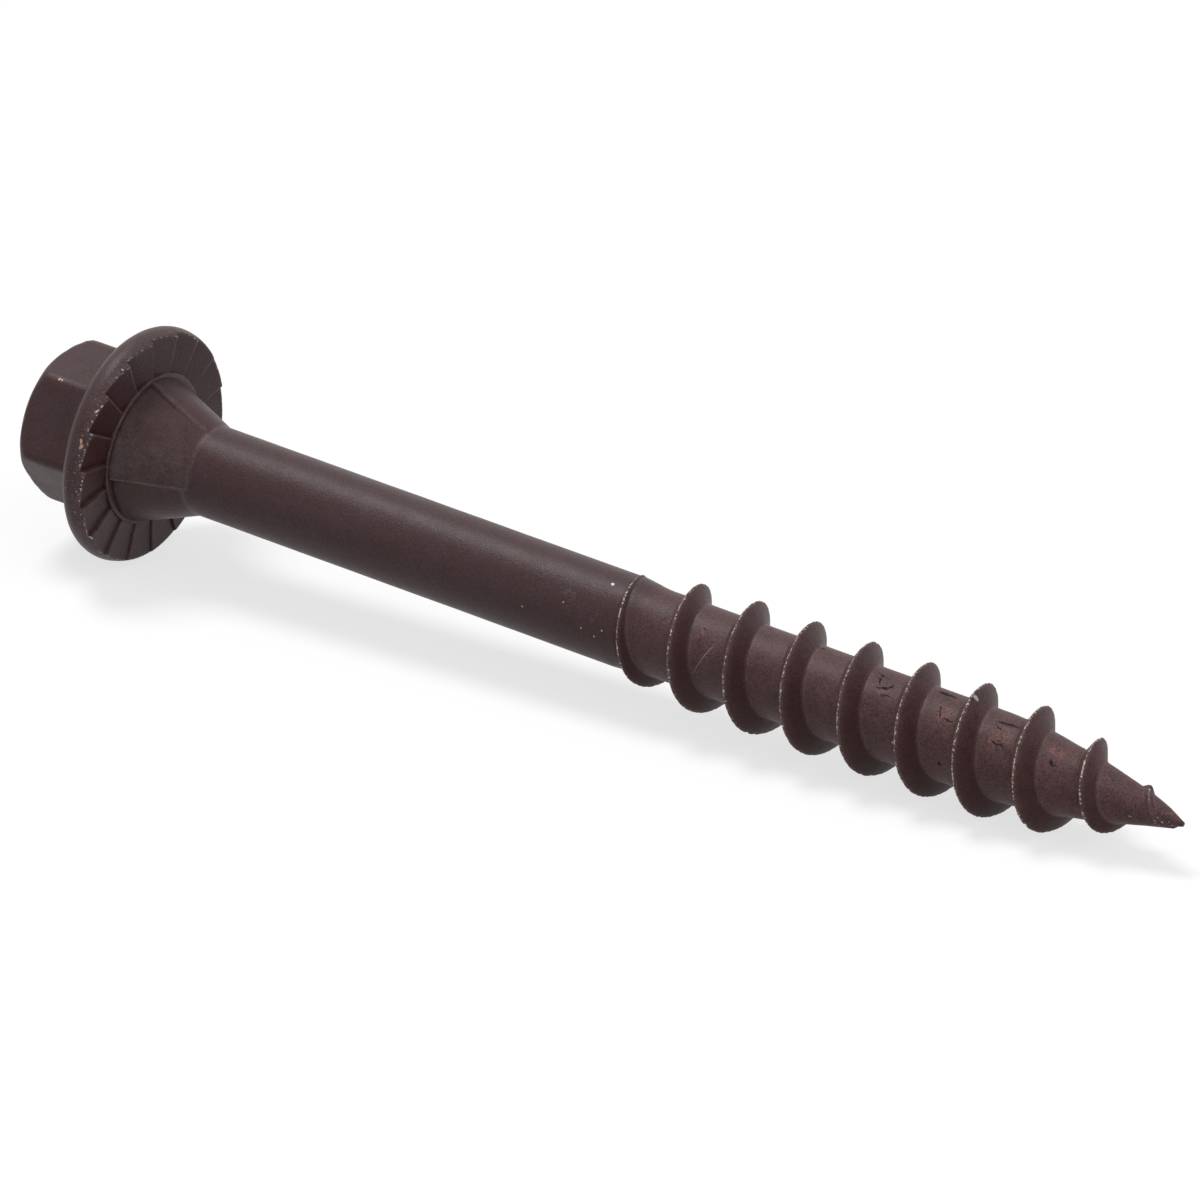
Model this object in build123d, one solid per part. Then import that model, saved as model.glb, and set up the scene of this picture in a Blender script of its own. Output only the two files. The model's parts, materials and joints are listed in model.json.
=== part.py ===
from build123d import *
from math import atan2, cos, degrees, radians, sin, tan
import os

# A lag screw, forged and rolled as one piece: hex head, washer flange with ratchet serrations,
# ribbed neck, plain shank, coarse right-hand wood thread and point.
#
# Lengths are in millimetres and angles in degrees. It is drawn on its own axis, Z towards the
# point, with Z = 0 in the plane of the serrated face, and angles are measured about that axis.
# A table of (place, radius) pairs gives an outline along the axis.

# Shank, root of the thread and point
shank_radius = 2.9
root_radius = 2.68
shank_end = 36.2
root_start = 39.0
taper = [(63.3, 2.68), (66.35, 2.48), (70.4, 1.81), (73.05, 1.21), (74.4, 0.86), (75.7, 0.42)]
point_end = 76.5

# Thread: its crest is a helix from thread_start, and crest_run gives the crest's radius after
# each number of turns, where it rises out of the shank and runs out along the point
pitch = 4.155
thread_start = 36.1
crest_radius = 3.945
crest_width = 0.2
flank_angle = 31.0
crest_run = [
    (-0.4, 2.6),
    (0.0, 3.04),
    (0.5, 3.45),
    (1.0, 3.72),
    (2.0, crest_radius),
    (6.3, crest_radius),
    (7.0, 3.84),
    (7.5, 3.56),
    (8.0, 3.15),
    (8.5, 2.3),
    (9.0, 1.45),
    (9.3, 0.8),
]
thread_foot_share = 0.75  # the ridge's foot is buried, at this share of the core's radius
thread_points_per_turn = 16

# Washer flange and the serrations in its face
face_radius = 7.2
rim_radius = 7.62
rim_middle = -0.9
rim_back_radius = 7.15
rim_back = -1.9
flange_top_radius = 4.2
flange_top = -3.3
tooth_count = 18
tooth_depth = 0.36
tooth_angle = 13.8
tooth_inner_radius = 4.9

# Hex head, with its crown turned to a rounded edge
hex_across_flats = 9.25
hex_corner_radius = 0.6
hex_angle = 7.8
hex_foot = -1.5
crown = [(-5.2, 5.6), (-6.2, 5.3), (-6.85, 4.85), (-7.15, 4.25), (-7.25, 3.5)]
head_offset = 0.1  # the head and flange are forged this far off the shank's axis

# Neck: a cone with ratchet ribs, each of which swells from a groove to a ridge
neck_ring_radius = 4.5
neck_ring_height = 0.2
neck_foot = 0.1
neck_end = 5.0
ridge_radii = (4.8, 2.8)  # at the neck's foot and at its end
groove_radii = (4.35, 2.7)
rib_count = 4
rib_angle = 124.2
rib_wall_angle = 9.0

# It lies on the rim of its flange and on a crest of its thread, with this angle straight up
upward_angle = 31.8


def between(table, place):
    """Straight-line value at a place in a table of (place, value) pairs."""
    for (low, low_value), (high, high_value) in zip(table, table[1:]):
        if place <= high:
            return low_value + (high_value - low_value) * (place - low) / (high - low)
    return table[-1][1]


def on_circle(radius, angle, height):
    return Vector(radius * cos(radians(angle)), radius * sin(radians(angle)), height)


def turned(outline):
    """Solid turned about the axis from (place, radius) pairs that start and end on the axis."""
    corners = [(radius, place) for place, radius in outline]
    return revolve(make_face(Plane.XZ * Polyline(*corners, close=True)), Axis.Z)


def core():
    """Shank, root of the thread and point, with a boss through the flange and a low ring on it."""
    stem = [(neck_ring_height, shank_radius), (shank_end, shank_radius), (root_start, root_radius)]
    boss = [(rim_back, 0), (rim_back, tooth_inner_radius), (0, tooth_inner_radius)]
    ring = [(neck_ring_height, neck_ring_radius)]
    return turned(boss + ring + stem + taper + [(point_end, 0)])


def neck_outline(level):
    """The neck's cross-section at its foot (level 0) or its end (level 1)."""
    ridge, groove = ridge_radii[level], groove_radii[level]
    height = (neck_foot, neck_end)[level]
    span = 360 / rib_count
    edges = []
    for rib in range(rib_count):
        ridge_angle = rib_angle + span * rib
        start = on_circle(groove, ridge_angle - span + rib_wall_angle, height)
        middle = on_circle((ridge + groove) / 2, ridge_angle - (span - rib_wall_angle) / 2, height)
        end = on_circle(ridge, ridge_angle, height)
        edges.append(Edge.make_three_point_arc(start, middle, end))
        edges.append(Edge.make_line(end, on_circle(groove, ridge_angle + rib_wall_angle, height)))
    return Wire(edges)


def neck():
    return Solid.make_loft([neck_outline(0), neck_outline(1)], ruled=True)


def tooth_gap(start_angle):
    """The space over one tooth: level with the face at its start, and tooth_depth deep at its end."""
    reach = 1.2 * rim_radius
    end_angle = start_angle + 360 / tooth_count
    end_depth = -tooth_depth * reach / face_radius
    axis_low, axis_high = Vector(0, 0, 0), Vector(0, 0, 1)
    start_low, start_high = on_circle(reach, start_angle, 0), on_circle(reach, start_angle, 1)
    end_low, end_high = on_circle(reach, end_angle, end_depth), on_circle(reach, end_angle, 1)
    outlines = [
        (axis_low, start_low, end_low),
        (axis_high, start_high, end_high),
        (axis_low, start_low, start_high, axis_high),
        (axis_low, end_low, end_high, axis_high),
        (start_low, end_low, end_high, start_high),
    ]
    return Solid(Shell([Face(Wire.make_polygon(outline)) for outline in outlines]))


def flange():
    """Washer flange with a rounded rim and a ring of ratchet teeth in its face."""
    back, widest, outer = (rim_back_radius, rim_back), (rim_radius, rim_middle), (face_radius, 0)
    top = (flange_top_radius, flange_top)
    outline = Polyline(outer, (0, 0), (0, flange_top), top, back)
    outline += [TangentArc(widest, back, tangent=(0, -1)), TangentArc(widest, outer, tangent=(0, 1))]
    disc = revolve(make_face(Plane.XZ * outline), Axis.Z)
    gaps = [tooth_gap(tooth_angle + 360 / tooth_count * tooth) for tooth in range(tooth_count)]
    return disc - gaps


def hex_head():
    """Hexagon bar, cut to the crown's turned outline."""
    hexagon = RegularPolygon(hex_across_flats / 2, 6, major_radius=False, rotation=hex_angle)
    hexagon = fillet(hexagon.vertices(), hex_corner_radius)
    bar = extrude(Plane.XY.offset(crown[-1][0]) * hexagon, hex_foot - crown[-1][0])
    return bar & turned([(hex_foot, 0), (hex_foot, crown[0][1])] + crown + [(crown[-1][0], 0)])


def crest(turn):
    return between(crest_run, turn)


def crest_place(turn):
    return thread_start + pitch * turn


def ridge_edge(turns, side, buried):
    """A long edge of the thread's ridge, on its crest or on its buried foot."""
    root_line = [(0, shank_radius), (shank_end, shank_radius), (root_start, root_radius)]
    root_line += taper + [(point_end, 0.0)]
    points = []
    for turn in turns:
        radius = crest(turn)
        if buried:
            radius = min(radius, thread_foot_share * between(root_line, crest_place(turn)))
        half_width = crest_width / 2 + (crest(turn) - radius) * tan(radians(flank_angle))
        points.append(on_circle(radius, 360 * turn, crest_place(turn) + side * half_width))
    return Edge.make_spline(points, parameters=turns)


def thread_stretch(start, end):
    """One stretch of the thread's ridge, with two flanks, a narrow crest and a buried foot."""
    steps = max(2, round((end - start) * thread_points_per_turn))
    turns = [start + (end - start) * step / steps for step in range(steps + 1)]
    edges = [ridge_edge(turns, side, buried) for side, buried in ((-1, 0), (1, 0), (1, 1), (-1, 1))]
    faces = [
        Face.make_surface_from_curves(first, second)
        for first, second in zip(edges, edges[1:] + edges[:1])
    ]
    ends = [Face(Wire.make_polygon([edge @ place for edge in edges])) for place in (0, 1)]
    return Solid(Shell(faces + ends))


def thread():
    """The whole ridge, in stretches of one turn."""
    start, end = crest_run[0][0], crest_run[-1][0]
    stretches = []
    while start < end:
        stretches.append(thread_stretch(start, min(start + 1, end)))
        start += 1
    return stretches


def rest_tilt():
    """Angle at which the axis dips towards the point, from the flange's rim to the first crest met."""
    floor_angle = upward_angle + 180
    rim = rim_radius + head_offset * cos(radians(floor_angle))
    tilts = []
    turn = floor_angle / 360
    while turn < crest_run[-1][0]:
        tilts.append(degrees(atan2(rim - crest(turn), crest_place(turn) - rim_middle)))
        turn += 1
    return min(tilts)


def resting_place(shape):
    """Where the upright shape goes: axis along X with the point forward and dipping, its lowest
    point on Z = 0 and its box centred over the origin."""
    tilt = radians(rest_tilt())
    bed = Plane(origin=(0, 0, 0), x_dir=(sin(tilt), 0, cos(tilt)), z_dir=(cos(tilt), 0, -sin(tilt)))
    turn_down = bed.location * Rot(Z=-upward_angle)
    box = (turn_down * shape).bounding_box()
    return Pos(-box.center().X, -box.center().Y, -box.min.Z) * turn_down


head = Pos(head_offset, 0, 0) * (flange() + hex_head())
blank = head + core() + neck()
upright = blank.fuse(*thread())
lag_screw = resting_place(upright) * upright

os.makedirs("parts", exist_ok=True)
export_step(lag_screw, "parts/lag_screw.step")
print("lag_screw", "volume", round(lag_screw.volume), "tilt", round(rest_tilt(), 2))
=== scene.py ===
import json
import math

import bpy
import numpy as np
from mathutils import Matrix, Vector


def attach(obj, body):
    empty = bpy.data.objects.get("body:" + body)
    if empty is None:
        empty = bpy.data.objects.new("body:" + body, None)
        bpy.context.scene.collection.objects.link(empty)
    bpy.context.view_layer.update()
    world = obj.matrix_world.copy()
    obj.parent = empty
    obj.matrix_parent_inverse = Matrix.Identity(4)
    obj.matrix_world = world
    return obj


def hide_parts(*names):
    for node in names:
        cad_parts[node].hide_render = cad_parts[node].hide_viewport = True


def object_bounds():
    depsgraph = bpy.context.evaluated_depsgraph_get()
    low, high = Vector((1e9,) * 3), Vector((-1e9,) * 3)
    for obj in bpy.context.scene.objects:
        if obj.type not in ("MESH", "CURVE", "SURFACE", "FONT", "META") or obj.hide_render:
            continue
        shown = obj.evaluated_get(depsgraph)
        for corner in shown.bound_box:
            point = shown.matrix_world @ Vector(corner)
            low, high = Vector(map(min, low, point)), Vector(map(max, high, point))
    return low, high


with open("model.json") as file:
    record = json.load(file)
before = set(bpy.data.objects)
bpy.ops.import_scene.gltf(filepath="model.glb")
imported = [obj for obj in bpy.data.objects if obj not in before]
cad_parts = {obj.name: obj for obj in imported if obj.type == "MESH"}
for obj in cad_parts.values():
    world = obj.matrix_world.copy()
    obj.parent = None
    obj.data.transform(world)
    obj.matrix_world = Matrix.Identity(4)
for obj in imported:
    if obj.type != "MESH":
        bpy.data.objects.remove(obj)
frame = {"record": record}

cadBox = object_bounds()
mounts = {mount["name"]: mount for mount in frame["record"]["mounts"]}
mm = 0.001

# the screw's own frame: places along its axis in mm, angles about it in degrees

seat = {
    "upwardAngle": 31.8,  # the angle about the axis that faces straight up
    "creaseAngle": 38,  # the skin's edges sharper than this aren't smoothed
}


def screwFrame():
    # origin in the serrated face's plane, axis towards the point, and two directions across it:
    # angle 0 is up turned back by upwardAngle, angle 90 is axis x angle 0
    start = Vector(mounts["bearing_face"]["pos_m"])
    forward = Vector(mounts["bearing_face"]["axis"]).normalized()
    up = Vector((0, 0, 1))
    up = (up - forward * up.dot(forward)).normalized()
    first = Matrix.Rotation(math.radians(-seat["upwardAngle"]), 3, forward) @ up
    return start, forward, first, forward.cross(first)


origin, axis, across0, across90 = screwFrame()


def placePoint(place, radius, angle):
    # origin + place * axis + radius * (cos(angle) * across0 + sin(angle) * across90), mm to m
    turn = np.radians(angle)
    along = np.asarray(place)[..., None] * np.array(axis)
    first = (np.asarray(radius) * np.cos(turn))[..., None] * np.array(across0)
    second = (np.asarray(radius) * np.sin(turn))[..., None] * np.array(across90)
    return np.array(origin) + mm * (along + first + second)


# numbers that every surface here uses

def smoothMax(a, b, blend):
    # the larger of a and b, with a round of about blend where they cross
    share = np.clip(0.5 + 0.5 * (a - b) / blend, 0, 1)
    return b + (a - b) * share + blend * share * (1 - share)


def smoothMin(a, b, blend):
    # the smaller of the two: minus the smooth maximum of -a and -b
    return -smoothMax(-a, -b, blend)


def smoothStep(x, low, high):
    # 3t^2 - 2t^3 with t = (x - low) / (high - low) held to 0..1
    t = np.clip((x - low) / (high - low), 0, 1)
    return t * t * (3 - 2 * t)


def hump(x, middle, width):
    # e to the power of -((x - middle) / width)^2
    return np.exp(-((x - middle) / width) ** 2)


def ripple(points, size, seed, waves=14):
    # sum of cosines of (direction . point / size + phase) in random directions, about -1..1
    rng = np.random.default_rng(seed)
    directions = rng.normal(size=(waves, 3))
    directions /= np.linalg.norm(directions, axis=1)[:, None]
    directions *= rng.uniform(0.6, 1.6, (waves, 1)) * 2 * math.pi / size
    phases = rng.uniform(0, 2 * math.pi, waves)
    total = np.zeros(points.shape[:-1])
    for direction, phase in zip(directions, phases):
        total += np.cos(points @ direction + phase)
    return total / math.sqrt(waves)


def tableValue(table, place):
    # straight line between the (place, value) pairs on either side
    places, values = zip(*table)
    return np.interp(place, places, values)


# shank and point

stem = {
    "shankRadius": 2.9,
    "rootRadius": 2.68,
    "shankEnd": 36.1,
    "rootStart": 38.4,
    "taper": [(63.3, 2.68), (66.35, 2.48), (70.4, 1.81), (73.05, 1.21), (74.4, 0.86), (75.7, 0.44)],
    "taperRound": 0.35,  # half the width over which the taper's corners are averaged
    "pointEnd": 76.42,
    "pointRadius": 0.08,
    "pointSag": 0.14,  # how far the very point leans down
    "sagStart": 73.4,
}


def coreRadius(place):
    # shank, smooth step down to the root, the taper's table averaged over its corners, and at
    # the end a quarter ellipse, lastRadius * sqrt(1 - t^2) with t from 0 to 1 at the point
    down = smoothStep(place, stem["shankEnd"], stem["rootStart"])
    straight = stem["shankRadius"] + (stem["rootRadius"] - stem["shankRadius"]) * down
    lastPlace, lastRadius = stem["taper"][-1]
    table = [(0, stem["rootRadius"])] + stem["taper"] + [(stem["pointEnd"], stem["pointRadius"])]
    shifts = stem["taperRound"] * np.array([-1, 0, 1])
    tapered = sum(tableValue(table, place + shift) for shift in shifts) / len(shifts)
    share = np.clip((place - lastPlace) / (stem["pointEnd"] - lastPlace), 0, 1)
    rounded = lastRadius * np.sqrt(1 - share ** 2)
    tapered = np.where(place > lastPlace, smoothMin(tapered, rounded, 0.05), tapered)
    return np.where(place < stem["taper"][0][0] - 2, straight, tapered)


def pointLean(place):
    # straight down in the world, by pointSag * t^2 from sagStart to the point
    share = np.clip((place - stem["sagStart"]) / (stem["pointEnd"] - stem["sagStart"]), 0, 1)
    return -mm * stem["pointSag"] * (share ** 2)[..., None] * np.array([0.0, 0.0, 1.0])


# head, flange and neck, as rows from the middle of the crown to the shank

flange = {
    "widest": (7.615, -0.9),  # radius and place of the rim's widest line
    "faceEdge": 7.3,  # the serrated face's edge, a circle off the middle by faceShift
    "faceShift": 0.1,
    "faceShiftAngle": 270,
    "rimBack": (7.15, -1.9),
    "backPinch": 0.22,  # the rim is this much thinner about backPinchAngle
    "backPinchAngle": 118,
    "coneFoot": (4.2, -3.3),
    "coneSlope": 0.4746,
    "hexFillet": 0.35,
    "toothCount": 18,
    "toothAngle": 13.8,
    "toothDepth": 0.375,
    "shallowAngle": 205,  # the teeth about this angle are worn by shallowShare of their depth
    "shallowShare": 0.68,
    "shallowWidth": 58,
    "innerRadius": 4.9,
    "ringTop": 0.05,
    # wear and painted shade: the rim is most chipped about chippedAngle, rubbed about rubbedSide (angle
    # and width), and the teeth are darkest with painted shade about shadedSide
    "chippedAngle": 98,
    "rubbedSide": (78, 40),
    "shadedSide": (112, 42),
    "ringSide": (105, 45),
}

hexHead = {
    "acrossFlats": 9.25,
    "cornerRadius": 0.75,
    "wornCorner": 0.9,  # the corners about wornAngle are rounder by this much
    "wornAngle": -22,
    "wornWidth": 50,
    "angle": 7.8,
    "top": -7.25,
    "crownInner": 3.5,
    "crownRound": 2.07,
    "offset": 0.1,  # the head and flange stand this far off the shank's axis, towards angle 0
}

neck = {
    "foot": 0.1,
    "end": 5.0,
    "ridge": (4.8, 2.8),  # radius at the foot and at the end
    "groove": (4.35, 2.7),
    # each rib's edge and the foot of its wall, and the share of the swell that its wall drops
    "ribs": [(37.2, 39.2, 0.4), (124.2, 129.2, 1.0), (217.2, 219.2, 1.0), (304.2, 309.2, 1.0)],
    "lean": 2.1,  # the first rib's wall turns by this many degrees each mm
    "leanAngle": 40.0,
    "paleSide": (100, 30),  # angle and width of the side where the coating is rubbed pale
}

# columns of the grid across one tooth, in degrees: close together at the tooth's step and at the
# walls of the neck's ribs
toothColumns = np.array([0, 0.4, 1.2, 3.4, 5.4, 7.4, 9.4, 10.0, 10.4, 11.2, 13.4, 15.4, 17.4, 19.4,
                         19.7])
toothSpan = 360 / flange["toothCount"]
toothStarts = flange["toothAngle"] + toothSpan * np.arange(flange["toothCount"])
columns = (toothStarts[:, None] + toothColumns).ravel()
columnCount = len(columns)


def hexRadius(angle):
    # apothem / cos(angle from the flat's middle), and a circle about a point inside each corner
    apothem = hexHead["acrossFlats"] / 2
    worn = hump((angle - hexHead["wornAngle"] + 180) % 360 - 180, 0, hexHead["wornWidth"])
    rounding = hexHead["cornerRadius"] + hexHead["wornCorner"] * worn
    fromCorner = np.radians(cornerAngle(angle))
    flat = apothem / np.cos(math.radians(30) - fromCorner)
    middle = (apothem - rounding) / math.cos(math.radians(30))
    inside = np.maximum(rounding ** 2 - (middle * np.sin(fromCorner)) ** 2, 0)
    corner = middle * np.cos(fromCorner) + np.sqrt(inside)
    edgeAngle = np.arctan2(rounding / 2, middle + rounding * math.cos(math.radians(30)))
    return np.where(fromCorner < edgeAngle, corner, flat)


def cornerAngle(angle):
    # degrees to the nearest corner of the hexagon
    turned = (angle - hexHead["angle"]) % 60
    return np.minimum(turned, 60 - turned)


def toothShare(angle):
    # 0 at a tooth's high edge to 1 at its deep end
    return ((angle - flange["toothAngle"]) % toothSpan) / toothSpan


def toothDepth(angle, radius):
    # depth * worn * (1 - 0.12 * ((radius - 6.2) / 1.1)^2) * share, with a small round on the high edge
    share = toothShare(angle)
    fromWorn = (angle - flange["shallowAngle"] + 180) % 360 - 180
    worn = 1 - flange["shallowShare"] * hump(fromWorn, 0, flange["shallowWidth"])
    depth = flange["toothDepth"] * worn * (1 - 0.12 * ((radius - 6.2) / 1.1) ** 2)
    return depth * share + 0.03 * (share < 0.01)


def ribSwell(angle):
    # 1 at each rib's edge, down its wall by its drop, and straight back up to the next edge
    swell = np.ones_like(angle)
    for index, (edge, foot, drop) in enumerate(neck["ribs"]):
        nextEdge = neck["ribs"][(index + 1) % len(neck["ribs"])][0]
        wall, span = foot - edge, (nextEdge - edge) % 360
        turned = (angle - edge) % 360
        share = np.where(turned < wall, turned / wall, 1 - (turned - wall) / (span - wall))
        swell = np.where(turned < span, 1 - drop * share, swell)
    return swell


def neckRadius(place, angle):
    # groove + (ridge - groove) * swell, both straight cones from the foot to the end
    along = (place - neck["foot"]) / (neck["end"] - neck["foot"])
    ridge = neck["ridge"][0] + (neck["ridge"][1] - neck["ridge"][0]) * along
    groove = neck["groove"][0] + (neck["groove"][1] - neck["groove"][0]) * along
    return groove + (ridge - groove) * ribSwell(angle)


def ribLean(place):
    # the columns near the first rib lean with its wall, and are upright again past the neck
    window = np.maximum(np.cos(np.radians((columns - neck["leanAngle"]) * 2.0)), 0) ** 2
    window = np.where(np.abs(columns - neck["leanAngle"]) < 45, window, 0)
    grown = np.clip(place - 0.3, 0, 4.6) * (1 - smoothStep(place, 6, 14))
    return neck["lean"] * grown * window


class Rows:
    # rows of the grid: place, radius, and how chipped the coating is, how pale from rubbing and painted
    # highlights, and how dark from painted shade
    def __init__(self):
        self.values = []

    def add(self, place, radius, chip=0.0, rub=0.0, dark=0.0):
        ones = np.ones(columnCount)
        self.values.append([value * ones for value in (place, radius, chip, rub, dark)])

    def arrays(self):
        return np.array(self.values).transpose(1, 0, 2)


def hexRows(rows):
    # disc, crown as the smaller of the hexagon and a turned quarter round, flats, and a fillet
    top, inner, rounding = hexHead["top"], hexHead["crownInner"], hexHead["crownRound"]
    hexagon = hexRadius(columns)
    # painted shade about each corner of the hexagon, on the crown and the flats, dulls the highlight
    # that the rounded corners catch
    corner = hump(cornerAngle(columns), 0, 3.0)
    for share in (0.2, 0.6, 0.9, 1.0):
        rows.add(top + 0.02 * share ** 4, inner * share)
    for turn in np.radians([8, 18, 28, 38, 47, 55, 63, 71, 80, 90]):
        crown = inner + rounding * math.sin(turn)
        edge = corner * math.sin(turn) ** 2
        rows.add(top + rounding * (1 - math.cos(turn)), smoothMin(hexagon, crown, 0.2),
                 dark=0.6 * edge)

    crownFoot = top + rounding
    footRadius, footPlace = flange["coneFoot"]
    cone = footPlace + flange["coneSlope"] * (hexagon - footRadius)
    fillet = flange["hexFillet"]
    for share in (0.35, 0.7, 1):
        rows.add(crownFoot + (cone - fillet - crownFoot) * share, hexagon,
                 dark=0.6 * corner)
    foot = hexagon + fillet
    coneFoot = footPlace + flange["coneSlope"] * (foot - footRadius)
    # the fillet into the cone takes painted shade, rising towards its foot
    for share in (0.33, 0.67, 1):
        place = (1 - share) ** 2 * (cone - fillet) + 2 * share * (1 - share) * cone
        rows.add(place + share ** 2 * coneFoot, hexagon + share ** 2 * fillet, dark=0.3 * share)
    return coneFoot, foot


def rimArc(radius, place):
    # radius and turn of the arc that leaves the rim's widest line square to the axis and passes
    # through the given point: (height^2 + gap^2) / (2 gap), and asin(height / arc radius)
    widest, middle = flange["widest"]
    gap, height = widest - radius, place - middle
    arc = (height ** 2 + gap ** 2) / (2 * gap)
    return arc, np.arcsin(height / arc)


def flangeRows(rows, coneStart, coneRadius):
    # back cone, rim as two arcs that meet at its widest line, and the serrated face
    widest, middle = flange["widest"]
    backRadius, backPlace = flange["rimBack"]
    pinch = np.maximum(np.cos(np.radians(columns - flange["backPinchAngle"])), 0) ** 2
    backPlace = backPlace + flange["backPinch"] * pinch
    nearSide = 0.5 + 0.5 * np.cos(np.radians(columns - flange["chippedAngle"]))
    rubbedSide = hump(columns, *flange["rubbedSide"])
    for share in (0.25, 0.5, 0.75, 0.94):
        rows.add(coneStart + (backPlace - coneStart) * share,
                 coneRadius + (backRadius - coneRadius) * share)
    backRound, backTurn = rimArc(backRadius, backPlace)
    # the rim's back edge, its first arc row, gets a painted highlight line as well as a few chips
    for share in (0.0, 0.08, 0.3, 0.55, 0.8):
        turn = backTurn * (1 - share)
        rows.add(middle + backRound * np.sin(turn), widest - backRound * (1 - np.cos(turn)),
                 chip=(0.1 + 0.3 * share) * nearSide + 0.2 * (share == 0), rub=0.8 * (share == 0))

    shift = np.cos(np.radians(columns - flange["faceShiftAngle"]))
    frontRound, turned = rimArc(flange["faceEdge"] + flange["faceShift"] * shift, 0.0)
    edgeDepth = 0.88 * toothDepth(columns, 7.3)
    edgeTurn = np.arcsin(np.clip((-edgeDepth - middle) / frontRound, -1, 1))
    edgeRadius = widest - frontRound * (1 - np.cos(edgeTurn))
    # towards the face's edge the rim is chipped and pale from rubbed coating, with a painted highlight
    # line on its last row
    for share in (0.0, 0.2, 0.4, 0.6, 0.76, 0.88, 0.96):
        turn = edgeTurn * share
        rows.add(middle + frontRound * np.sin(turn), widest - frontRound * (1 - np.cos(turn)),
                 chip=(0.33 + 0.22 * share) * nearSide + 0.2 * (share > 0.8),
                 rub=(0.1 + 0.35 * share) * nearSide + 0.35 * rubbedSide * share)
    rows.add(-edgeDepth - 0.012, edgeRadius - 0.02, chip=0.78 + 0.1 * nearSide, rub=0.9)

    innerRadius = flange["innerRadius"]
    # each tooth's step edge gets a painted highlight line and a few chips, and painted shade lies at
    # the foot of each wall, towards the inner edge by the neck, and about shadedSide
    fromStep = (columns - flange["toothAngle"] + 10) % toothSpan - 10
    step = hump(fromStep, 0.3, 0.5)
    wallFoot = hump(fromStep, -0.6, 0.7)
    shade = 0.9 * hump(columns, *flange["shadedSide"])
    for share in (0.035, 0.09, 0.2, 0.35, 0.5, 0.65, 0.8, 0.92):
        radius = edgeRadius - 0.02 + (innerRadius - edgeRadius + 0.02) * share
        rows.add(-toothDepth(columns, radius), radius,
                 chip=0.3 * step + 0.3 * (share < 0.05), rub=0.9 * step + 0.25 * (share < 0.05),
                 dark=np.maximum(0.1 * wallFoot + 0.3 * smoothStep(share, 0.75, 1), shade))


def neckRows(rows):
    # a low round ring, a crease, the ribbed cone, and plain shank up to where the thread's grid starts
    innerRadius, ringTop = flange["innerRadius"], flange["ringTop"]
    foot = neckRadius(0.25, columns)
    ringSide = hump(columns, *flange["ringSide"])
    # the ring: painted shade in the creases on either side, and a painted highlight line along its top,
    # widest about ringSide
    rows.add(-toothDepth(columns, innerRadius), innerRadius, dark=0.6)
    rows.add(-0.01, innerRadius - 0.005, rub=0.2 + 0.3 * ringSide, dark=0.2)
    rows.add(0.7 * ringTop, innerRadius - 0.04, rub=0.3 + 0.6 * ringSide)
    rows.add(ringTop, innerRadius - 0.11, rub=0.3 + 0.6 * ringSide)
    rows.add(ringTop, np.clip(foot + 0.12, 4.62, innerRadius - 0.12), rub=0.2)
    rows.add(0.05, np.minimum(foot + 0.03, innerRadius - 0.13), dark=0.6)
    edge, strip = neck["ribs"][1][0], neck["ribs"][0][0]
    ridgeLine = hump(columns, edge, 0.55)
    stripLine = hump(columns, strip - 2.6, 2.6)
    wallLine = hump(columns, strip + 1.2, 0.8)
    paleSide = hump(columns, *neck["paleSide"])
    # on the ribbed cone: painted highlights along the ridge edge and on the strip before the first rib,
    # painted shade in that rib's wall and at the foot, a painted highlight line where the cone meets
    # the shank, and rubbed pale coating about paleSide
    for place in (0.16, 0.3, 0.6, 1.0, 1.5, 2.0, 2.5, 3.0, 3.5, 3.9, 4.2, 4.4, 4.55, 4.7, 4.85, 5.0):
        cone = neckRadius(place, columns)
        end = hump(cone - stem["shankRadius"], 0.0, 0.05)
        fade = 1 - smoothStep(place, 4.2, 4.8)
        rub = np.maximum(1.6 * ridgeLine * fade, 0.7 * end) + 0.45 * paleSide * fade
        rows.add(place, smoothMax(cone, stem["shankRadius"], 0.05),
                 chip=(0.3 * ridgeLine + 0.3 * stripLine) * fade,
                 rub=np.maximum(rub, 0.5 * stripLine * fade),
                 dark=0.4 * (place < 0.2) + 0.7 * wallLine * fade)
    for place in np.concatenate([[5.3, 6.0, 7.2], np.linspace(9, shankGridEnd(), 9)]):
        rows.add(place, stem["shankRadius"])


# thread: a grid that follows the helix, one pitch wide

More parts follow.
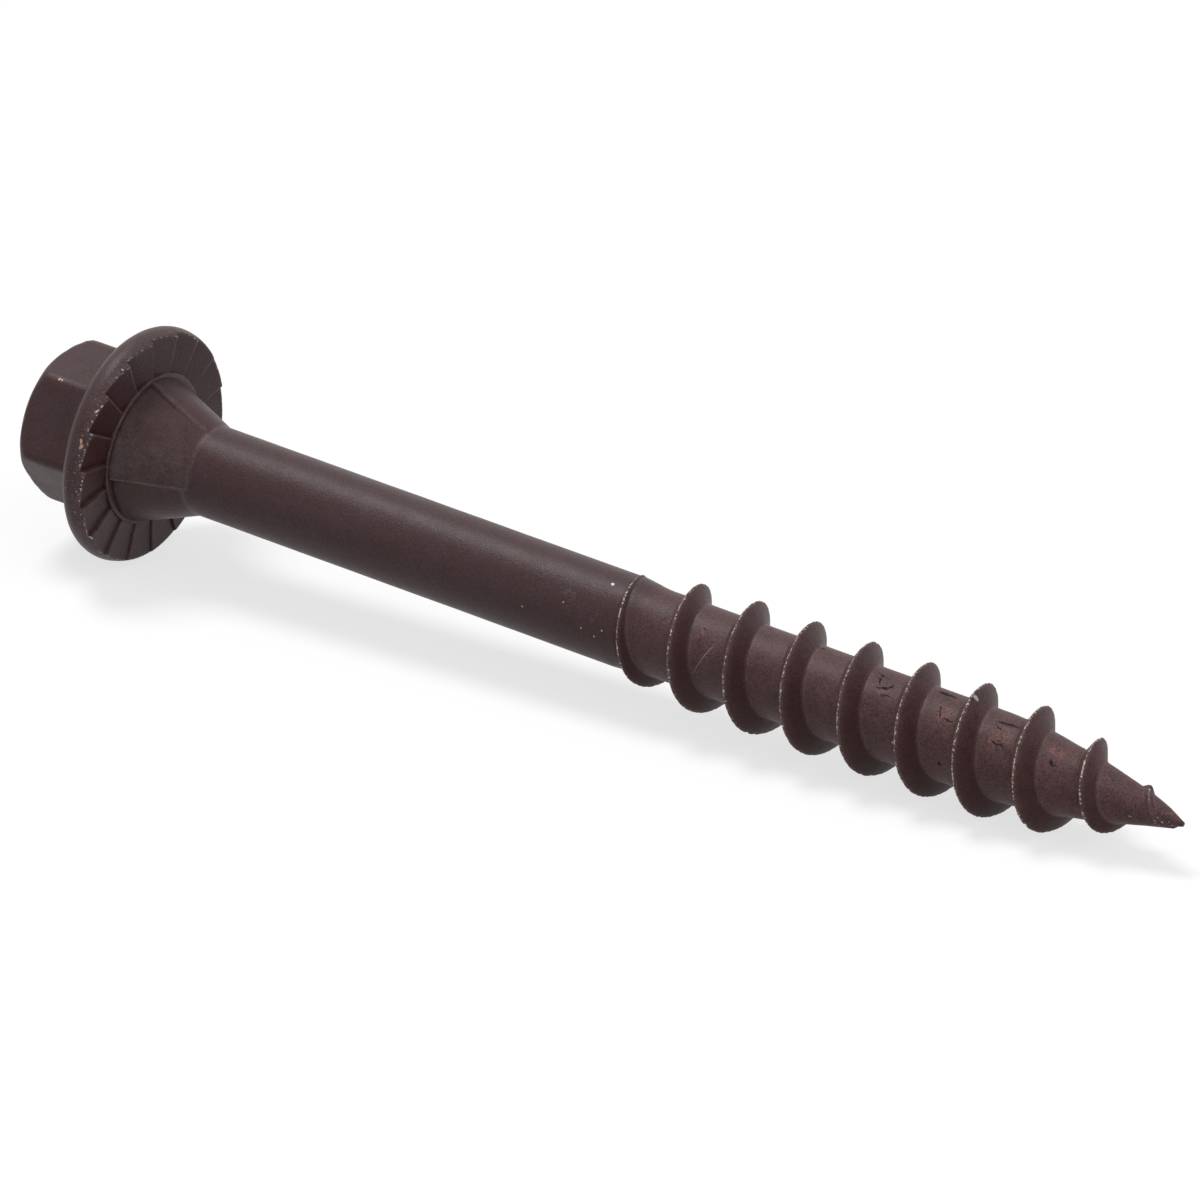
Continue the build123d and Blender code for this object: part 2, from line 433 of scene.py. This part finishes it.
thread = {
    "pitch": 4.155,
    "start": 36.1,
    "crestRound": 0.07,
    "flankAngle": 31.0,
    "rootBlend": 0.13,
    "lip": 0.025,  # a slight raised line on the root, lipGap from each flank's foot
    "lipGap": 0.14,
    "lipWidth": 0.09,
    # radius of the crest after each number of turns
    "crestRun": [(-0.4, 2.6), (0.0, 3.0), (0.25, 3.12), (0.4, 3.34), (0.55, 3.55), (1.0, 3.74),
                 (1.5, 3.86), (2.0, 3.935), (6.3, 3.935), (7.0, 3.84), (7.5, 3.56), (8.0, 3.15),
                 (8.5, 2.3), (8.95, 1.42), (9.06, 1.33), (9.3, 0.93), (9.5, 0.6), (9.8, 0.0)],
    "nick": 0.03,
    "nickWidth": 0.11,
    "burrTurn": 9.02,
    "burrHeight": 0.1,
    "lastRound": 0.12,  # the last turn's crest is this much rounder, and its back flank flatter
    "lastFlat": 0.6,
    "lastTurns": (8.7, 8.95),
    "chipLine": 0.085,  # half width of the line of chips along the crest
    "laterTurns": (3.5, 7),
    "firstTurn": -1 + flange["toothAngle"] / 360,
    "turns": 10.5,
    "squeezeFrom": 75.0,  # beyond this place the grid closes up towards squeezeEnd
    "squeezeEnd": 76.28,
    "ridgeShares": (1, 0.9, 0.68, 0.42, 0.2, 0.07),
    "rootSteps": (0.06, 0.14, 0.26),
    "rootShares": (0.4, 0.72, 1),
}


def shankGridEnd():
    # half a pitch short of where the strip's first crest is, and 0.25 mm more
    return thread["start"] + thread["pitch"] * (thread["firstTurn"] - 0.5) - 0.25


def crestRadius(turn):
    # the table, averaged over its corners, and a burr where the last turn ends
    shifts = (-0.06, 0, 0.06)
    mean = sum(tableValue(thread["crestRun"], turn + shift) for shift in shifts) / 3
    return mean + thread["burrHeight"] * hump(turn, thread["burrTurn"], 0.016)


def flankFoot(height):
    # distance along the axis from the crest to the foot of its flank
    slope = math.tan(math.radians(thread["flankAngle"]))
    return thread["crestRound"] + np.maximum(height, 0.05) * slope


def stripOffsets(height):
    # offsets along the axis from the crest over one pitch: close on the flanks, open on the root
    half = thread["pitch"] / 2
    foot = flankFoot(height)
    steps = [foot + step for step in thread["rootSteps"]]
    root = [steps[-1] + (half - steps[-1]) * share for share in thread["rootShares"]]
    ridge = [foot * share for share in thread["ridgeShares"]]
    side = np.array(root[::-1] + steps[::-1] + ridge)
    return np.concatenate([-side, np.zeros((1, side.shape[1])), side[::-1]]).T


def threadStrip():
    # on a grid of (step along the helix, offset across it), the radius is the smooth maximum of
    # the core and crest - (sqrt(offset^2 + round^2) - round) / tan(flank angle)
    steps = round(thread["turns"] * columnCount)
    index = np.arange(steps + 1)
    angle = columns[index % columnCount] + 360 * (index // columnCount) - 360
    turn = angle / 360
    crest = crestRadius(turn)
    crestPlace = thread["start"] + thread["pitch"] * turn
    height = crest - coreRadius(np.minimum(crestPlace, stem["pointEnd"] - 0.3))
    offset = stripOffsets(height)
    place = crestPlace[:, None] + offset
    over = np.maximum(place - thread["squeezeFrom"], 0)
    widest = crestPlace[-1] + thread["pitch"] / 2 - thread["squeezeFrom"]
    squeezed = thread["squeezeFrom"] + (thread["squeezeEnd"] - thread["squeezeFrom"]) * over / widest
    place = np.where(over > 0, squeezed, place)
    offset = place - crestPlace[:, None]

    line = placePoint(crestPlace, crest, angle) / mm
    nick = thread["nick"] * np.abs(0.6 * ripple(line, 1.1, 3) + ripple(line, 0.4, 4))
    last = smoothStep(turn, *thread["lastTurns"])[:, None]
    rounding = thread["crestRound"] + thread["lastRound"] * last
    fall = np.sqrt(offset ** 2 + rounding ** 2) - rounding
    fall *= 1 - thread["lastFlat"] * last * (offset < 0)
    ridge = crest[:, None] - fall / math.tan(math.radians(thread["flankAngle"]))
    ridge -= nick[:, None] * hump(offset, 0, thread["nickWidth"])
    present = smoothStep(height, 0.0, 0.5)[:, None]
    foot = flankFoot(height)[:, None]
    lip = hump(np.abs(offset), foot + thread["lipGap"], thread["lipWidth"]) * present
    core = coreRadius(place)
    blend = np.clip(thread["rootBlend"] * np.clip(height, 0.2, 1), 0.02, 1)[:, None]
    radius = smoothMax(ridge, core + thread["lip"] * lip, blend)

    # the crest line is chipped, and pale from rubbed coating and painted highlights
    crestLine = hump(offset, 0, thread["chipLine"]) * smoothStep(height, 0.02, 0.2)[:, None]
    later = smoothStep(turn, *thread["laterTurns"])[:, None]
    nearPoint = smoothStep(place, 72.8, 75.5)
    chip = np.maximum(crestLine * (1.0 + 0.12 * later) * (1 - 0.35 * last), 0.5 * nearPoint)
    # painted highlights: a light line on the lip at the foot of each flank facing the point, and a
    # highlight on the very point
    rub = np.maximum(0.8 * crestLine, 0.5 * lip * (offset > 0))
    rub = np.maximum(rub, 0.8 * smoothStep(place, 76.0, 76.35))
    # painted shade on the flanks: strong on those facing the point, less where they face up, and light
    # on those facing the head
    onFlank = smoothStep(np.abs(offset) / foot, 0.05, 0.3)
    onFlank *= 1 - smoothStep(np.abs(offset), foot, foot + 0.1)
    upward = hump((angle + 170) % 360 - 180, 0, 60)[:, None]
    dark = onFlank * present * np.where(offset > 0, 0.85 - 0.75 * upward, 0.25)
    return np.array([place, radius, chip, rub, dark]), angle


# one closed skin: crown pole, head rows, helix strip, point pole

def screwMesh():
    rows = Rows()
    coneStart, coneRadius = hexRows(rows)
    flangeRows(rows, coneStart, coneRadius)
    neckRows(rows)
    headPlace, headRadius, *headWearAndPaintedLight = rows.arrays()
    rowCount, n = headPlace.shape
    headAngle = columns + ribLean(headPlace)
    dents = ripple(placePoint(headPlace, headRadius, headAngle) / mm, 2.6, 7)
    flatness = 1 - hump(headPlace, 0.0, 0.3)
    head = placePoint(headPlace, headRadius - 0.008 * (1 + dents) * flatness, headAngle)
    onHead = 1 - smoothStep(headPlace, -0.1, 0.15)
    head += mm * hexHead["offset"] * onHead[..., None] * np.array(across0)
    crownPole = placePoint(hexHead["top"], 0.0, 0.0) + mm * hexHead["offset"] * np.array(across0)

    (place, radius, *stripWearAndPaintedLight), angle = threadStrip()
    steps, width = place.shape[0] - 1, place.shape[1] - 1
    strip = placePoint(place, radius, angle[:, None]) + pointLean(place)
    tipPlace = 0.3 * thread["squeezeEnd"] + 0.7 * stem["pointEnd"]
    tipRing = placePoint(tipPlace, coreRadius(tipPlace), columns) + pointLean(np.array(tipPlace))
    tipPole = placePoint(stem["pointEnd"], 0.0, 0.0) + pointLean(np.array(stem["pointEnd"]))

    headStart = 1
    stripStart = headStart + rowCount * n
    extraStart = stripStart + (steps + 1) * width
    ringStart = extraStart + n
    poleAt = ringStart + n
    lastLap = slice(steps - n + 1, None)
    points = np.concatenate([crownPole[None], head.reshape(-1, 3), strip[:, :width].reshape(-1, 3),
                             strip[lastLap, width], tipRing, tipPole[None]])
    wearAndPaintedLight = [np.concatenate([[0.0], onHead.ravel(), onStrip[:, :width].ravel(), onStrip[lastLap, width],
                             np.zeros(n), [0.0]]) for onHead, onStrip in zip(headWearAndPaintedLight, stripWearAndPaintedLight)]

    def quads(first, second, third, fourth):
        return np.stack([first, second, third, fourth], -1).reshape(-1, 4)

    def fan(apex, seam):
        return np.stack([np.full(len(seam) - 1, apex), seam[:-1], seam[1:]], -1)

    row, column = np.meshgrid(np.arange(rowCount - 1), np.arange(n), indexing="ij")
    low, high = headStart + row * n, headStart + (row + 1) * n
    nextColumn = (column + 1) % n
    headQuads = quads(low + column, low + nextColumn, high + nextColumn, high + column)

    def stripIndex(i, j):
        # the strip's last offset is its first one a full turn later, or an extra vertex
        lapped = np.where(i + n <= steps, stripStart + (i + n) * width, extraStart + i + n - steps - 1)
        return np.where(j < width, stripStart + i * width + j, lapped)

    i, j = np.meshgrid(np.arange(steps), np.arange(width), indexing="ij")
    stripQuads = quads(stripIndex(i, j), stripIndex(i + 1, j), stripIndex(i + 1, j + 1),
                       stripIndex(i, j + 1))

    # shank to strip, with a fan along the line where the strip begins
    lastRow = headStart + (rowCount - 1) * n
    k = np.arange(n - 1)
    joinQuads = quads(lastRow + k, lastRow + k + 1, stripIndex(k + 1, 0 * k), stripIndex(k, 0 * k))
    seam = np.concatenate([[lastRow], stripStart + np.arange(width), [stripIndex(n, 0)],
                           [stripIndex(n - 1, 0)]])
    startFan = fan(lastRow + n - 1, seam)

    # strip to a ring behind the point, with a fan where the strip ends
    k = np.arange(1, n)
    ringColumn, nextRing = ringStart + (steps + k) % n, ringStart + (steps + k + 1) % n
    edge = extraStart + k - 1
    ringQuads = quads(edge, edge + 1, nextRing, ringColumn)
    seam = np.concatenate([stripStart + steps * width + np.arange(width), [extraStart + n - 1],
                           [ringStart + steps % n], [ringStart + (steps + 1) % n]])
    endFan = fan(extraStart, seam[::-1])

    k = np.append(np.arange(n), 0)
    crownFan = fan(0, headStart + k[::-1])
    tipFan = fan(poleAt, ringStart + k)
    faces = np.concatenate([headQuads, stripQuads, joinQuads, ringQuads]).tolist()
    faces += np.concatenate([crownFan, startFan, endFan, tipFan]).tolist()
    return points, faces, wearAndPaintedLight


def makeScrew():
    # a mesh with its wear, painted highlights and painted shade as attributes, smooth but for edges
    # over creaseAngle
    points, faces, wearAndPaintedLight = screwMesh()
    mesh = bpy.data.meshes.new("lagScrewSkin")
    mesh.from_pydata(points.tolist(), [], faces)
    for name, values in zip(("chip", "rub", "dark"), wearAndPaintedLight):
        mesh.attributes.new(name, "FLOAT", "POINT").data.foreach_set("value", values.astype(np.float32))
    mesh.polygons.foreach_set("use_smooth", np.ones(len(mesh.polygons), bool))
    mesh.set_sharp_from_angle(angle=math.radians(seat["creaseAngle"]))
    mesh.update()
    skin = bpy.data.objects.new("lagScrewSkin", mesh)
    bpy.context.scene.collection.objects.link(skin)
    return skin


screw = makeScrew()
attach(screw, "root")
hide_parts("lag_screw")
print("screw", len(screw.data.vertices), "vertices", len(screw.data.polygons), "faces")

# materials


class Value:
    # wraps a number socket, so that + - * / and their reflected forms add Math nodes
    def __init__(self, tree, socket):
        self.tree = tree
        self.socket = socket

    def maths(self, operation, *values):
        # a Math node whose inputs are numbers or other Values
        node = self.tree.nodes.new("ShaderNodeMath")
        node.operation = operation
        for port, value in zip(node.inputs, values):
            if isinstance(value, Value):
                self.tree.links.new(value.socket, port)
            else:
                port.default_value = value
        return Value(self.tree, node.outputs[0])

    def __add__(self, other):
        return self.maths("ADD", self, other)

    def __radd__(self, other):
        return self.maths("ADD", other, self)

    def __sub__(self, other):
        return self.maths("SUBTRACT", self, other)

    def __rsub__(self, other):
        return self.maths("SUBTRACT", other, self)

    def __mul__(self, other):
        return self.maths("MULTIPLY", self, other)

    def __rmul__(self, other):
        return self.maths("MULTIPLY", other, self)

    def __truediv__(self, other):
        return self.maths("DIVIDE", self, other)

    def __rtruediv__(self, other):
        return self.maths("DIVIDE", other, self)

    def larger(self, other):
        return self.maths("MAXIMUM", self, other)

    def smaller(self, other):
        return self.maths("MINIMUM", self, other)


class Finish:
    # a node tree, with one method that adds any node
    def __init__(self, tree):
        self.tree = tree
        tree.nodes.clear()

    def node(self, kind, settings=None, **inputs):
        # settings are the node's own properties, and inputs are numbers, colours or sockets by name
        node = self.tree.nodes.new(kind)
        for name, value in (settings or {}).items():
            setattr(node, name, value)
        for name, value in inputs.items():
            port = self.port(node, name)
            if isinstance(value, Value):
                value = value.socket
            if isinstance(value, bpy.types.NodeSocket):
                self.tree.links.new(value, port)
            else:
                port.default_value = value
        return node

    def port(self, node, name):
        # a socket by its name without spaces, in any case, or by its number, as in at6
        if name.startswith("at") and name[2:].isdigit():
            return node.inputs[int(name[2:])]
        for port in node.inputs:
            if port.name.replace(" ", "").lower() == name.lower() and port.enabled:
                return port
        raise KeyError(name)

    def value(self, kind, output=0, settings=None, **inputs):
        # one output of a new node, ready for sums
        return Value(self.tree, self.node(kind, settings, **inputs).outputs[output])

    def colourMix(self, share, first, second, blend="MIX"):
        # a Mix node on colours: inputs 0, 6 and 7 are its factor and its two colours
        first, second = (value if isinstance(value, bpy.types.NodeSocket) else (*value, 1)
                         for value in (first, second))
        settings = {"data_type": "RGBA", "blend_type": blend}
        return self.node("ShaderNodeMix", settings, at0=share, at6=first, at7=second).outputs[2]

    def dot(self, vector, direction):
        return self.value("ShaderNodeVectorMath", 1, {"operation": "DOT_PRODUCT"},
                          at0=vector, at1=tuple(direction))

    def noise(self, vector, size, detail=3.0, roughness=0.5):
        # grains of about the given size in mm
        return self.value("ShaderNodeTexNoise", 0, vector=vector, scale=1 / (size * mm), detail=detail,
                          roughness=roughness)

    def step(self, value, low, high):
        # smooth 0 to 1 as the value goes from low to high
        return self.value("ShaderNodeMapRange", 0, {"interpolation_type": "SMOOTHSTEP"},
                          value=value, frommin=low, frommax=high)


def newMaterial(name):
    # an empty material, and the Finish that fills it
    material = bpy.data.materials.new(name)
    material.use_nodes = True
    return material, Finish(material.node_tree)


coating = {
    "plain": (0.064, 0.031, 0.032),
    "cool": (0.056, 0.0315, 0.035),
    "root": (0.088, 0.045, 0.047),
    "lateRoot": (0.086, 0.0425, 0.0435),
    "rootFrom": (36.5, 39.5),  # places between which each root colour comes in
    "lateFrom": (46.0, 62.0),
    # flank is the dark colour of painted shade on flanks, creases, walls and hex corners; the next is
    # the pale colour of rubbed coating and of painted highlight lines
    "flank": (0.048, 0.0185, 0.018),
    "rubbed": (0.15, 0.108, 0.105),
    "bare": (0.52, 0.46, 0.43),
    "copper": (0.50, 0.27, 0.20),
    "rust": (0.21, 0.088, 0.072),
    "crack": (0.014, 0.009, 0.009),
    "roughness": 0.41,
    "specular": 0.16,
    "grain": 0.12,  # mm
    "flake": 0.16,
    "mottle": 0.8,
    "patch": 4.0,
    "grainShare": 1.7,
    "bump": 0.035,  # mm
}

# flaws in the coating: place in mm, angle in degrees, length, lean in degrees and half width
flaws = {
    "flatRadius": 2.7,
    "cracks": [(54.9, 38, 1.2, 15, 0.06), (55.5, 56, 1.1, -25, 0.09), (54.9, 47, 0.7, 50, 0.06),
               (59.2, 27, 1.4, 0, 0.12), (59.7, 61, 0.8, 60, 0.06), (60.4, 69, 0.7, -20, 0.07),
               (64.0, 43, 1.5, -8, 0.11), (63.6, 52, 0.5, 30, 0.05), (64.2, 77, 1.0, 15, 0.08),
               (67.9, 72, 0.6, 30, 0.05), (60.7, 128, 0.35, 90, 0.10), (42.75, 64, 0.3, 20, 0.08),
               (55.8, 66, 0.6, 0, 0.05), (45.8, 20, 1.0, 10, 0.05), (50.0, 24, 0.8, -10, 0.06)],
    "worn": [(34.5, 58, 1.2, 0, 0.6), (33.4, 84, 1.4, 0, 0.7), (35.4, 98, 0.8, 0, 0.4),
             (39.9, 62, 1.6, 0, 0.8), (30.8, 70, 1.0, 0, 0.5), (60.1, 62, 1.8, 0, 0.9),
             (64.3, 62, 2.0, 0, 1.0), (44.0, 88, 1.8, 0, 0.9), (74.6, 60, 1.2, 0, 0.6)],
    "rust": [(60.1, 64, 1.1, 0, 0.55), (64.2, 64, 1.5, 0, 0.7), (67.8, 54, 1.0, 0, 0.5),
             (55.4, 60, 0.6, 0, 0.3), (42.5, 72, 0.6, 0, 0.35)],
    "scratches": [(43.3, 102, 3.0, -66, 0.035), (41.2, 110, 1.4, -60, 0.02)],
    "specks": [(35.5, 51, 0.22, 0, 0.11), (36.1, 112, 0.14, 0, 0.06), (35.6, 123, 0.12, 0, 0.06),
               (61.7, 41, 0.24, 30, 0.12), (57.3, 122, 0.12, 0, 0.06), (33.0, 95, 0.10, 0, 0.05),
               (30.2, 118, 0.10, 0, 0.05), (34.6, 118, 0.10, 0, 0.05), (73.3, 131, 0.2, 0, 0.07)],
    "copper": [(-0.42, 100, 0.2, 0, 0.07), (-0.5, 97, 0.16, 0, 0.05), (-5.25, 65, 0.18, 0, 0.05),
               (-5.0, 65, 0.16, 0, 0.04)],
}


def coatedSteel():
    # brown coating, darkened by painted shade, paler where rubbed and along painted highlight lines,
    # bare metal where chipped, and near black in cracks
    material, finish = newMaterial("coatedSteel")
    position = finish.node("ShaderNodeTexCoord").outputs["Object"]
    chipped = finish.value("ShaderNodeAttribute", 2, {"attribute_name": "chip"})
    rubbed = finish.value("ShaderNodeAttribute", 2, {"attribute_name": "rub"})
    dark = finish.value("ShaderNodeAttribute", 2, {"attribute_name": "dark"})

    # the screw's surface laid flat: place along it, and angle as an arc of flatRadius
    place = (finish.dot(position, axis) - origin.dot(axis)) / mm
    first = (finish.dot(position, across0) - origin.dot(across0)) / mm
    second = (finish.dot(position, across90) - origin.dot(across90)) / mm
    arc = first.maths("ARCTAN2", second, first) * flaws["flatRadius"]
    wander = finish.noise(position, 0.7, 2.0) - 0.5
    wanderToo = finish.noise(position, 0.45, 2.0) - 0.5

    def nearest(kind, wobble):
        # each flaw is an ellipse: length of (along / half length, across / width), the least of
        # all, with noise times wobble added to its place
        flat = finish.node("ShaderNodeCombineXYZ", at0=place + wander * wobble,
                           at1=arc + wanderToo * wobble)
        closest = None
        for place0, angle0, length, lean, width in flaws[kind]:
            middle = (place0, math.radians(angle0) * flaws["flatRadius"], 0)
            local = finish.node("ShaderNodeMapping", {"vector_type": "TEXTURE"}, vector=flat.outputs[0],
                                location=middle, rotation=(0, 0, math.radians(lean)),
                                scale=(length / 2, width, 1))
            away = finish.value("ShaderNodeVectorMath", 1, {"operation": "LENGTH"},
                                at0=local.outputs[0])
            closest = away if closest is None else closest.smaller(away)
        return closest

    grain = finish.noise(position, coating["grain"], 2.0, 0.6) - 0.5
    mottle = finish.noise(position, coating["mottle"], 4.0, 0.6) - 0.5
    patch = finish.noise(position, coating["patch"], 2.0) - 0.5
    coolShare = finish.step(mottle * 1.4 + patch, -0.3, 0.3)
    colour = finish.colourMix(coolShare, coating["plain"], coating["cool"])
    onRoot = finish.step(place, *coating["rootFrom"])
    late = finish.step(place, *coating["lateFrom"])
    colour = finish.colourMix(onRoot * (0.8 + mottle), colour, coating["root"])
    colour = finish.colourMix(late * (0.8 + mottle), colour, coating["lateRoot"])
    # painted shade: the shade attribute mixes in the dark flank colour
    colour = finish.colourMix(finish.step(dark, 0.0, 1.0), colour, coating["flank"])
    grainShare = coating["grainShare"] * (0.75 + 0.4 * onRoot + 0.3 * late) * (1 - 0.5 * dark)
    value = 1 + grain * grainShare + mottle * (0.5 + 0.5 * late) + patch * 0.3
    grey = finish.node("ShaderNodeCombineColor", at0=value, at1=value, at2=value).outputs[0]
    colour = finish.colourMix(1.0, colour, grey, "MULTIPLY")
    # paler where the coating is rubbed, and along painted highlight lines on edges, ridges and the
    # point
    rubAndSheenShare = (rubbed * (0.55 + mottle * 1.8 + grain * 1.5)).larger(0.0).smaller(1.0)
    colour = finish.colourMix(rubAndSheenShare, colour, coating["rubbed"])

    worn = 1 - finish.step(nearest("worn", 2.0), 0.4, 1.5)
    worn = worn * finish.step(grain * 1.5 + mottle, 0.0, 0.3)
    colour = finish.colourMix(worn * 0.35, colour, coating["rubbed"])

    rust = 1 - finish.step(nearest("rust", 1.2), 0.5, 1.4)
    rust = rust * finish.step(grain + mottle, -0.1, 0.2)
    colour = finish.colourMix(rust * 0.9, colour, coating["rust"])

    # bare metal where the flakes of noise stand above a level that falls as chip rises
    flake = finish.noise(position, coating["flake"], 3.0, 0.6)
    bare = finish.step(flake - (0.78 - 0.28 * chipped), -0.01, 0.05)
    scratches = 1 - finish.step(nearest("scratches", 0.1), 0.5, 1.1)
    specks = 1 - finish.step(nearest("specks", 0.15), 0.6, 1.3)
    copper = 1 - finish.step(nearest("copper", 0.3), 0.6, 1.3)
    coppery = finish.step(finish.noise(position, 0.9, 1.0), 0.58, 0.64) * 0.6
    metal = finish.colourMix(copper.larger(coppery), coating["bare"], coating["copper"])
    bareAll = bare.larger(specks * 0.9).larger(copper).larger(scratches * 0.35)
    colour = finish.colourMix(bareAll, colour, metal)

    cracks = 1 - finish.step(nearest("cracks", 0.7), 0.7, 1.3)
    colour = finish.colourMix(cracks, colour, coating["crack"])

    height = grain * 0.6 + mottle * 0.8
    bump = finish.node("ShaderNodeBump", distance=coating["bump"] * mm, strength=1.0, height=height)
    rough = coating["roughness"] + onRoot * 0.05 + late * 0.05 + mottle * 0.2 + cracks * 0.3
    shader = finish.node("ShaderNodeBsdfPrincipled", basecolor=colour, metallic=bareAll * 0.3,
                         roughness=rough, normal=bump.outputs[0],
                         speculariorlevel=coating["specular"])
    finish.node("ShaderNodeOutputMaterial", surface=shader.outputs[0])
    return material


screw.data.materials.append(coatedSteel())
print("materials ready")

# floor, light and camera

studio = {
    "floorSize": 3.0,
    "floorColour": (0.55, 0.55, 0.55),
    "floorGlow": 0.7,  # how much of the floor's white is its own, which lightens the shadow
    "fill": 0.36,
    # each lamp's direction, strength and width in degrees
    "lamps": {"softKey": ((-0.38, 0.08, 0.92), 0.64, 24), "sideLight": ((0.75, -0.15, 0.64), 0.2, 60)},
    "azimuth": 34.835,
    "elevation": 25.494,
    "distance": 0.8027,
    "target": (-0.00055, 0.0, 0.00629),
    "lens": 394.5,
}


def seenDirectly(finish):
    # 1 for camera, glossy and transmission rays, and 0 for the rays that carry diffuse light
    path = finish.node("ShaderNodeLightPath")
    camera, glossy, through = (Value(finish.tree, path.outputs[name]) for name in
                               ("Is Camera Ray", "Is Glossy Ray", "Is Transmission Ray"))
    return camera.larger(glossy).larger(through)


def plainFloor():
    # a square under the screw: white to the camera, lit through floorColour, with the shadow kept
    half = studio["floorSize"] / 2
    z = cadBox[0].z
    mesh = bpy.data.meshes.new("floor")
    mesh.from_pydata([(-half, -half, z), (half, -half, z), (half, half, z), (-half, half, z)],
                     [], [(0, 1, 2, 3)])
    floor = bpy.data.objects.new("floor", mesh)
    bpy.context.scene.collection.objects.link(floor)
    material, finish = newMaterial("paleFloor")
    seen = seenDirectly(finish)
    colour = finish.colourMix(seen, studio["floorColour"], (1, 1, 1))
    paper = finish.node("ShaderNodeBsdfDiffuse", color=colour)
    glow = finish.node("ShaderNodeEmission", strength=1.0)
    mixed = finish.node("ShaderNodeMixShader", at0=seen * studio["floorGlow"],
                        at1=paper.outputs[0], at2=glow.outputs[0])
    finish.node("ShaderNodeOutputMaterial", surface=mixed.outputs[0])
    mesh.materials.append(material)


def softWorld():
    # strength is fill for the light, and 1 where the sky is seen: fill + (1 - fill) * seen
    world = bpy.data.worlds.new("studioWorld")
    world.use_nodes = True
    finish = Finish(world.node_tree)
    strength = studio["fill"] + (1 - studio["fill"]) * seenDirectly(finish)
    sky = finish.node("ShaderNodeBackground", color=(1, 1, 1, 1), strength=strength)
    finish.node("ShaderNodeOutputWorld", surface=sky.outputs[0])
    bpy.context.scene.world = world


def softLamps():
    # broad suns: a white surface square to one sends back its strength
    for name, (direction, strength, width) in studio["lamps"].items():
        light = bpy.data.lights.new(name, "SUN")
        light.energy = strength * math.pi
        light.angle = math.radians(width)
        lamp = bpy.data.objects.new(name, light)
        lamp.rotation_euler = Vector(direction).to_track_quat("Z", "Y").to_euler()
        bpy.context.scene.collection.objects.link(lamp)


def viewCamera():
    # back = (sin a cos e, -cos a cos e, sin e) for azimuth a and elevation e; it stands distance off
    azimuth, elevation = math.radians(studio["azimuth"]), math.radians(studio["elevation"])
    back = Vector((math.sin(azimuth) * math.cos(elevation), -math.cos(azimuth) * math.cos(elevation),
                   math.sin(elevation)))
    data = bpy.data.cameras.new("camera")
    data.lens = studio["lens"]
    data.sensor_width = 36.0
    data.clip_start, data.clip_end = 0.01, 20.0
    camera = bpy.data.objects.new("camera", data)
    camera.location = Vector(studio["target"]) + back * studio["distance"]
    camera.rotation_euler = (-back).to_track_quat("-Z", "Y").to_euler()
    bpy.context.scene.collection.objects.link(camera)
    bpy.context.scene.camera = camera


plainFloor()
softWorld()
softLamps()
viewCamera()
bpy.context.scene.view_settings.view_transform = "Standard"
print("studio ready")
